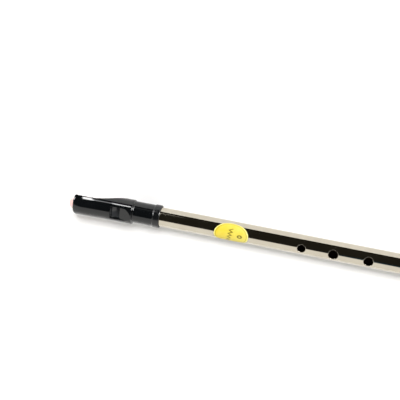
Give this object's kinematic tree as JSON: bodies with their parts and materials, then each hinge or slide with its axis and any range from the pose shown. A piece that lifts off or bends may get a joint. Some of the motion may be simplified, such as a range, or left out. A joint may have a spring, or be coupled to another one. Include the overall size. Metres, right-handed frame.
{
  "type": "tin whistle",
  "caption": "High-D tin whistle: thin nickel-plated tube with finger holes, black moulded fipple mouthpiece on a collar, and a small yellow label.",
  "frame": {"origin": "under the middle of the whistle, on the surface that it lies on, at the lowest point of the mouthpiece collar", "axes": "+X along the tube from the beak to the foot, +Z the way the finger holes and the window face, +Y across"},
  "size_m": [0.3016, 0.0162, 0.0171],
  "materials": {
    "nickel_plate": "polished nickel plate over brass, with faint draw lines",
    "black_plastic": "gloss black moulded plastic",
    "pink_plastic": "semi-gloss pale pink plastic",
    "yellow_vinyl": "satin printed vinyl film"
  },
  "bodies": {
    "tube_body": {"tube": "nickel_plate", "label": "yellow_vinyl"},
    "head_body": {"head_shell": "black_plastic", "fipple_block": "pink_plastic"}
  },
  "joints": [
    {"name": "tuning_slide", "type": "slide", "parent": "tube_body", "child": "head_body", "axis": [-1, 0, 0], "range_m": [0, 0.008]}
  ]
}
